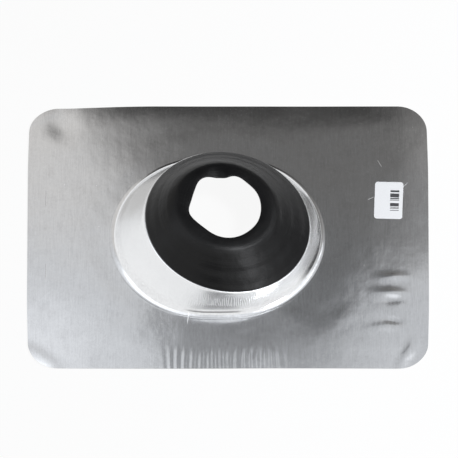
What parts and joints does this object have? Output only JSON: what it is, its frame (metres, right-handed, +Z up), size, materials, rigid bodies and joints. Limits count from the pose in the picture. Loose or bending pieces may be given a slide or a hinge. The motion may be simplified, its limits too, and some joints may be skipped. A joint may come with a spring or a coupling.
{
  "type": "roof pipe flashing boot",
  "caption": "Roof flashing for a vent pipe: a drawn aluminium base sheet with an offset, tilted stack and a cone-shaped rubber collar that grips the pipe.",
  "frame": {"origin": "middle of the base sheet's underside", "axes": "+X up the roof slope along the sheet's length, +Y across the slope, +Z up out of the roof; the stack's rim and the bore face a little towards +X"},
  "size_m": [0.4064, 0.3174, 0.0656],
  "materials": {
    "base_sheet": "mill finish, rolled grain",
    "collar_rubber": "moulded, matt to satin, dusty",
    "label_paper": "uncoated white"
  },
  "bodies": {
    "root": {"flashing_base": "base_sheet", "pipe_collar": "collar_rubber", "paper_label": "label_paper"}
  },
  "joints": []
}
